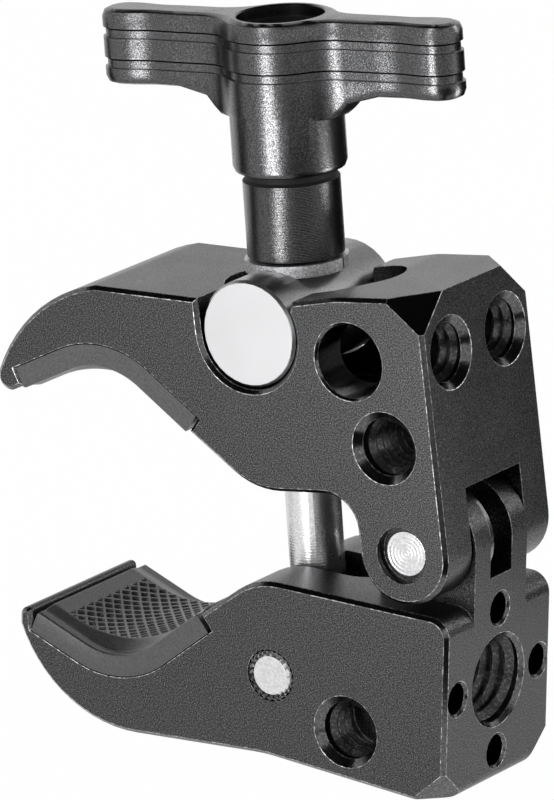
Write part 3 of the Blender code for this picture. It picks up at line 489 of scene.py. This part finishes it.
def bent_line(lift, radius, count):
    """Evenly spaced points and normals on the pad's bent line, from its tip end."""
    bend_x = -lift * tan(PAD_BEND / 2)
    tangent = radius * tan(PAD_BEND / 2)
    tip = PAD_TIP_RUN + bend_x - tangent
    arm_x = PAD_ARM_RUN * cos(PAD_BEND) - lift * sin(PAD_BEND)
    arm_z = PAD_ARM_RUN * sin(PAD_BEND) + lift * cos(PAD_BEND)
    end_x = bend_x + tangent * cos(PAD_BEND)
    end_z = lift + tangent * sin(PAD_BEND)
    arm = hypot(arm_x - end_x, arm_z - end_z)
    total = tip + radius * PAD_BEND + arm
    line = []
    for step in range(count):
        s = total * step / (count - 1)
        if s < tip:
            angle, x, z = 0, -PAD_TIP_RUN + s, lift
        elif s < tip + radius * PAD_BEND:
            angle = (s - tip) / radius
            x = bend_x - tangent + radius * sin(angle)
            z = lift + radius * (1 - cos(angle))
        else:
            angle, run = PAD_BEND, s - tip - radius * PAD_BEND
            x, z = end_x + run * cos(angle), end_z + run * sin(angle)
        line.append((x, z, -sin(angle), cos(angle), s, total))
    return line


def ramp(value, start, end):
    """0 before start and 1 after end, with an even S between them."""
    share = min(1.0, max(0.0, (value - start) / (end - start)))
    return share * share * (3 - 2 * share)


def pit(value):
    """1 in the middle of a pit and 0 on the ridge that each whole value has."""
    return ramp(abs(value - round(value)), *PIT_SLOPE)


def pad(name, node, body, base, seat, tilt, up):
    """One pad as a grid over its face, thickened down to its seat."""
    rim = bent_line(PAD_TOP, RIM_RADIUS, LONG_STEPS)
    field = bent_line(PAD_TOP + FIELD_RISE, FIELD_RADIUS, LONG_STEPS)
    back = bent_line(PAD_GAP, BACK_RADIUS, LONG_STEPS)
    deselect()
    bpy.ops.mesh.primitive_grid_add(
        x_subdivisions=LONG_STEPS - 1, y_subdivisions=CROSS_STEPS - 1, size=1
    )
    piece = bpy.context.object
    piece.name = name
    bpy.ops.object.mode_set(mode="EDIT")
    bpy.ops.mesh.select_all(action="SELECT")
    bpy.ops.mesh.extrude_region_move(TRANSFORM_OT_translate={"value": (0, 0, -1)})
    bpy.ops.object.mode_set(mode="OBJECT")
    for vertex in piece.data.vertices:
        i = round((vertex.co.x + 0.5) * (LONG_STEPS - 1))
        y = vertex.co.y * 2 * PAD_EDGE
        if vertex.co.z < -0.5:
            flare = max(0, abs(y) - RECESS_EDGE)
            x, z = back[i][0] - back[i][2] * flare, back[i][1] - back[i][3] * flare
        else:
            blend = ramp(RIM_EDGE - abs(y), 0, RIM_EDGE - FIELD_EDGE)
            x = rim[i][0] * (1 - blend) + field[i][0] * blend
            z = rim[i][1] * (1 - blend) + field[i][1] * blend
            s, total = field[i][4], field[i][5]
            inside = ramp(PITS_EDGE - abs(y), 0, FIELD_FADE)
            inside *= ramp(s - TIP_LAND, 0, FIELD_FADE)
            inside *= ramp(total - ARM_LAND - s, 0, FIELD_FADE)
            one = s / DIAMOND_LENGTH + y / DIAMOND_WIDTH
            other = s / DIAMOND_LENGTH - y / DIAMOND_WIDTH
            lift = -PIT_DEPTH * inside * pit(one) * pit(other)
            edge = min(PAD_EDGE - abs(y), s, total - s)
            lift -= EDGE_ROUND * max(0, 1 - edge / EDGE_ROUND) ** 2
            x += field[i][2] * lift
            z += field[i][3] * lift
        along = x * cos(tilt) + z * sin(tilt)
        rise = z * cos(tilt) - x * sin(tilt)
        vertex.co = (seat[0] + along, y, seat[1] + up * rise)
    bpy.ops.object.mode_set(mode="EDIT")
    bpy.ops.mesh.select_all(action="SELECT")
    bpy.ops.mesh.normals_make_consistent(inside=False)
    bpy.ops.object.mode_set(mode="OBJECT")
    bpy.ops.object.shade_smooth_by_angle(angle=PAD_SMOOTH)
    piece.data.transform(base)
    piece.data.materials.append(rubber)
    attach(piece, body)
    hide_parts(node)


pad("lower_pad_moulding", "lower_pad", "lower_jaw", REAR_FACE, *LOWER_SEAT)
pad("upper_pad_moulding", "upper_pad", "upper_jaw", UPPER_LEAN, *UPPER_SEAT)
for node in ("lower_pad", "upper_pad"):
    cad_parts[node].data.materials.clear()
    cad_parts[node].data.materials.append(rubber)


# The hinge pin: bright turned steel, pressed into the upper jaw's cheeks and riveted over in
# their counterbores. Its dark washer sits on it beside the lower jaw's left ear.
BRIGHT = ((0.62, 0.62, 0.63), (0.80, 0.80, 0.81))
COUNTERBORE_FLOOR = 0.0090
PAST_FLOOR = 0.00005
RIVET_SPREAD = 1.17
MARK_SCALE = 0.3
MARK_WANDER = 0.6
MARK_DETAIL = 2


def turned_steel(name, colours, grain, roughness, bump, centre, turn, pitch, marking, strength):
    """Steel with lathe marks: rings or bands on an axis through centre, at a given pitch."""
    material = surface(name, colours, grain, roughness, bump, metallic=1.0)
    tree = material.node_tree
    place = tree.nodes["Texture Coordinate"]
    turned = tree.nodes.new("ShaderNodeMapping")
    turned.vector_type = "TEXTURE"
    turned.inputs["Location"].default_value = centre
    turned.inputs["Rotation"].default_value = turn
    tree.links.new(place.outputs["Object"], turned.inputs["Vector"])
    marks = tree.nodes.new("ShaderNodeTexWave")
    marks.wave_type = marking
    if marking == "RINGS":
        marks.rings_direction = "Z"
    else:
        marks.bands_direction = "Z"
    marks.inputs["Scale"].default_value = 1 / pitch * MARK_SCALE
    marks.inputs["Distortion"].default_value = MARK_WANDER
    marks.inputs["Detail"].default_value = MARK_DETAIL
    tree.links.new(turned.outputs["Vector"], marks.inputs["Vector"])
    relief = tree.nodes.new("ShaderNodeBump")
    relief.inputs["Strength"].default_value = strength
    relief.inputs["Distance"].default_value = pitch / 6
    tree.links.new(marks.outputs["Fac"], relief.inputs["Height"])
    grain_relief = tree.nodes["Bump"]
    tree.links.new(relief.outputs["Normal"], grain_relief.inputs["Normal"])
    return material


def cut_at(bm, point, normal):
    """Adds an edge loop where a plane meets the mesh."""
    geometry = bm.verts[:] + bm.edges[:] + bm.faces[:]
    bmesh.ops.bisect_plane(bm, geom=geometry, plane_co=point, plane_no=normal, dist=WELD / 2)


def riveted_ends(piece):
    """Widens the pin's two ends, from the floors of the counterbores outwards."""
    bm = bmesh.new()
    bm.from_mesh(piece.data)
    for side in (-1, 1):
        cut_at(bm, (0, side * COUNTERBORE_FLOOR, 0), (0, 1, 0))
    for vertex in bm.verts:
        if abs(vertex.co.y) > COUNTERBORE_FLOOR + PAST_FLOOR:
            vertex.co.x = HINGE.x + (vertex.co.x - HINGE.x) * RIVET_SPREAD
            vertex.co.z = HINGE.z + (vertex.co.z - HINGE.z) * RIVET_SPREAD
    bm.to_mesh(piece.data)
    bm.free()


pin_steel = turned_steel(
    "pin_steel", BRIGHT, 0.0004, (0.2, 0.3), 0.1, HINGE, (pi / 2, 0, 0), 0.0004, "RINGS", 0.35
)
refined(
    "hinge_pin_turned", "hinge_pin", pin_steel, "upper_jaw", form=riveted_ends
)
# The washer's own dark colour; the pivot pin's groove wall also uses it, as painted shade.
dark_washer_and_groove_shade = surface(
    "dark_washer_and_groove_shade", ((0.16, 0.16, 0.165), (0.26, 0.26, 0.265)), 0.0003,
    (0.16, 0.24), 0.2, metallic=1.0,
)
refined("hinge_washer_turned", "hinge_washer", dark_washer_and_groove_shade, "lower_jaw")


# The pivot pin: bright steel with a knurled head, driven into the lower jaw so that the
# teeth hold it. A groove runs round the head's smooth disc, its outer wall painted dark as
# painted shade.
PIVOT = Vector((0.00687, 0, 0.01024))
GROOVE_REACH = 0.96
GROOVE_DEPTH = 0.0005
DISC_RADIUS = 0.00212
END_SLACK = 0.00001
INSET = 0.00002
KNURL_SHARP = 20
ACROSS = Vector((1, 0, 1))


def grooved_head(piece):
    """Sinks a groove round the pin's bright end, inside the teeth of its knurl, and paints its
    outer wall dark as painted shade.
    """
    bm = bmesh.new()
    bm.from_mesh(piece.data)
    bmesh.ops.dissolve_limit(bm, angle_limit=FLAT_TURN, verts=bm.verts, edges=bm.edges)
    near = min(vertex.co.y for vertex in bm.verts)
    ends = [f for f in bm.faces if max(vertex.co.y for vertex in f.verts) < near + END_SLACK]
    # The groove's outer wall takes the dark washer material: painted shade in the groove.
    for face in bmesh.ops.inset_individual(bm, faces=ends, thickness=INSET)["faces"]:
        face.material_index = 1
    for vertex in ends[0].verts:
        vertex.co = PIVOT + (vertex.co - PIVOT) * ACROSS * GROOVE_REACH
        vertex.co.y = near + GROOVE_DEPTH
    bmesh.ops.inset_individual(bm, faces=ends, thickness=INSET)
    for vertex in ends[0].verts:
        vertex.co = PIVOT + ((vertex.co - PIVOT) * ACROSS).normalized() * DISC_RADIUS
        vertex.co.y = near
    bm.to_mesh(piece.data)
    bm.free()
    piece.data.materials.append(dark_washer_and_groove_shade)


knurled_steel = turned_steel(
    "knurled_steel", BRIGHT, 0.0004, (0.2, 0.3), 0.1, PIVOT, (pi / 2, 0, 0), 0.0005, "RINGS", 0.2
)
refined(
    "pivot_pin_knurled", "rod_pivot_pin", knurled_steel, "lower_jaw", KNURL_SHARP,
    form=grooved_head,
)


# The screw: bright turned steel, hung on the pivot pin by its eye. It runs up through the
# trunnion and the sleeve into the handle.
SCREW_LEAN = radians(-5.81)

screw_steel = turned_steel(
    "screw_steel", BRIGHT, 0.00025, (0.22, 0.34), 0.2, PIVOT, (0, SCREW_LEAN, 0), 0.0003,
    "BANDS", 0.1,
)
refined("screw_turned", "screw_rod", screw_steel, "screw")


# The trunnion: a cross pin of satin grey steel with polished ends, which turns in the upper
# jaw's seat. A split washer of bright steel lies on its spotface, under the sleeve.
GREY = ((0.26, 0.26, 0.265), (0.36, 0.36, 0.365))
POLISHED = (0.72, 0.72, 0.73, 1)
POLISHED_FROM = 0.01002
POLISHED_TO = 0.01006

trunnion_steel = surface("trunnion_steel", GREY, 0.00022, (0.26, 0.36), 0.25, metallic=1.0)
tree = trunnion_steel.node_tree
ends = tree.nodes.new("ShaderNodeSeparateXYZ")
tree.links.new(tree.nodes["Texture Coordinate"].outputs["Object"], ends.inputs[0])
away = tree.nodes.new("ShaderNodeMath")
away.operation = "ABSOLUTE"
tree.links.new(ends.outputs["Y"], away.inputs[0])
polished = tree.nodes.new("ShaderNodeMapRange")
polished.inputs["From Min"].default_value = POLISHED_FROM
polished.inputs["From Max"].default_value = POLISHED_TO
tree.links.new(away.outputs[0], polished.inputs["Value"])
bare = tree.nodes.new("ShaderNodeMix")
bare.data_type = "RGBA"
bare.inputs["B"].default_value = POLISHED
tree.links.new(polished.outputs["Result"], bare.inputs["Factor"])
tree.links.new(tree.nodes["Color Ramp"].outputs["Color"], bare.inputs["A"])
tree.links.new(bare.outputs["Result"], tree.nodes["Principled BSDF"].inputs["Base Color"])
refined("trunnion_ground", "trunnion", trunnion_steel, "trunnion")
washer_steel = surface(
    "washer_steel", ((0.35, 0.35, 0.36), (0.85, 0.85, 0.86)), 0.00018,
    (0.3, 0.5), 0.8, metallic=1.0,
)
refined("thrust_washer_split", "thrust_washer", washer_steel, "trunnion")


# The hidden steel: the hinge spring, wound from blackened wire round the hinge pin, and the
# stop ring on the end of the screw.
WIRE_SMOOTH = 60

spring_steel = surface(
    "spring_steel", ((0.08, 0.08, 0.08), (0.16, 0.16, 0.16)), 0.0003,
    (0.25, 0.35), 0.2, metallic=1.0,
)
refined(
    "hinge_spring_coil", "hinge_spring", spring_steel, "lower_jaw", WIRE_SMOOTH
)
refined("stop_ring_turned", "stop_ring", spring_steel, "screw")


# The handle: a two-winged casting with a satin black coat and two grooves round its edge.
# The sleeve below it holds the nut's thread, is turned from blackened steel and is pressed
# up into the boss.
TRUNNION = Vector((0.003075, 0, 0.04754))
HANDLE_TOP = 0.0326
WING_WAIST = 0.0023
WING_WAIST_X = 0.0120
WING_TIP = 0.0026
WING_TIP_X = 0.0189
FLARE_START = 0.0148
FLARE_END = 0.0180
FLARE_LOW = 0.00218
GROOVE_TOPS = (0.0020, 0.0053)
UNDERCUT = 0.00025
UNDERCUT_HEIGHT = 0.00024
HANDLE_TURN = radians(4.5)
WING_FLAT_TURN = radians(0.3)
WING_CUTS = 14
FIRST_CUT_X = WING_WAIST_X + 0.0004
LAST_CUT_X = WING_TIP_X + 0.0002
HANDLE_SHARP = 32
WALL_FROM = 0.0008
RIM_SLACK = 0.000005
DROP_LEAST = 0.00008
DROP_LEAN = 0.00004
UPRIGHT = 0.5
NECK_SLACK = 0.00001
SHOULDER_SLACK = 0.00005
HANDLE_FRAME = Matrix.Translation(TRUNNION) @ Matrix.Rotation(SCREW_LEAN, 4, "Y")
HANDLE_FRAME = HANDLE_FRAME @ Matrix.Rotation(HANDLE_TURN, 4, "Z")

coated = surface(
    "satin_coat", ((0.060, 0.060, 0.062), (0.160, 0.159, 0.162)), 0.00015,
    (0.21, 0.26), 0.45, metallic=1.0, fleck=(0.40, 0.68),
)


def cast_form(piece):
    """Flares the wings near their tips, and undercuts the grooves' upper edges."""
    bm = bmesh.new()
    bm.from_mesh(piece.data)
    bm.transform(HANDLE_FRAME.inverted())
    bmesh.ops.dissolve_limit(bm, angle_limit=WING_FLAT_TURN, verts=bm.verts, edges=bm.edges)
    for step in range(WING_CUTS):
        x = FIRST_CUT_X + (LAST_CUT_X - FIRST_CUT_X) * step / WING_CUTS
        cut_at(bm, (x, 0, 0), (1, 0, 0))
        cut_at(bm, (-x, 0, 0), (1, 0, 0))
    for top in GROOVE_TOPS:
        cut_at(bm, (0, 0, HANDLE_TOP - top - UNDERCUT_HEIGHT), (0, 0, 1))
    for vertex in bm.verts:
        x, y = abs(vertex.co.x), vertex.co.y
        if WING_WAIST_X < x < WING_TIP_X and abs(y) > WALL_FROM:
            along = (x - WING_WAIST_X) / (WING_TIP_X - WING_WAIST_X)
            straight = WING_WAIST + (WING_TIP - WING_WAIST) * along
            waist = WING_WAIST + (FLARE_LOW - WING_WAIST) * ramp(x, WING_WAIST_X, FLARE_START)
            flared = waist + (WING_TIP - waist) * ramp(x, FLARE_START, FLARE_END)
            vertex.co.y += (flared - straight) * (1 if y > 0 else -1)
    bm.normal_update()
    for top in GROOVE_TOPS:
        moves = []
        for vertex in bm.verts:
            if abs(vertex.co.z - HANDLE_TOP + top) > RIM_SLACK:
                continue
            others = [edge.other_vert(vertex).co - vertex.co for edge in vertex.link_edges]
            walls = [face.normal for face in vertex.link_faces if abs(face.normal.z) < UPRIGHT]
            below = [o for o in others if o.z < -DROP_LEAST and hypot(o.x, o.y) < DROP_LEAN]
            if walls and below:
                outwards = sum(walls, Vector())
                outwards.z = 0
                moves.append((vertex, -outwards.normalized() * UNDERCUT))
        for vertex, move in moves:
            vertex.co += move
    bm.transform(HANDLE_FRAME)
    bm.to_mesh(piece.data)
    bm.free()


refined(
    "handle_casting", "wing_handle", coated, "handle", HANDLE_SHARP,
    form=cast_form,
)
sleeve_black = turned_steel(
    "sleeve_black", ((0.045, 0.045, 0.046), (0.115, 0.114, 0.116)), 0.00016, (0.18, 0.23), 0.45,
    TRUNNION, (0, SCREW_LEAN, 0), 0.00016, "BANDS", 0.25,
)
# Near-black matte for the sleeve's neck under the boss: painted shade.
neck_painted_shade = surface(
    "neck_painted_shade", ((0.008, 0.008, 0.008), (0.016, 0.016, 0.016)), 0.00016,
    (0.55, 0.65), 0.2, gloss=0.2,
)


def shaded_neck(piece):
    """Paints shade on the narrow neck between the sleeve's shoulder and the boss, where the boss
    overhangs it.
    """
    corners = [HANDLE_FRAME.inverted() @ vertex.co for vertex in piece.data.vertices]
    widest = max(hypot(corner.x, corner.y) for corner in corners)
    shoulder = max(c.z for c in corners if hypot(c.x, c.y) > widest - SHOULDER_SLACK)
    piece.data.materials.append(neck_painted_shade)
    for polygon in piece.data.polygons:
        if min(corners[i].z for i in polygon.vertices) > shoulder - NECK_SLACK:
            polygon.material_index = 1


refined("sleeve_turned", "nut_sleeve", sleeve_black, "handle", form=shaded_neck)
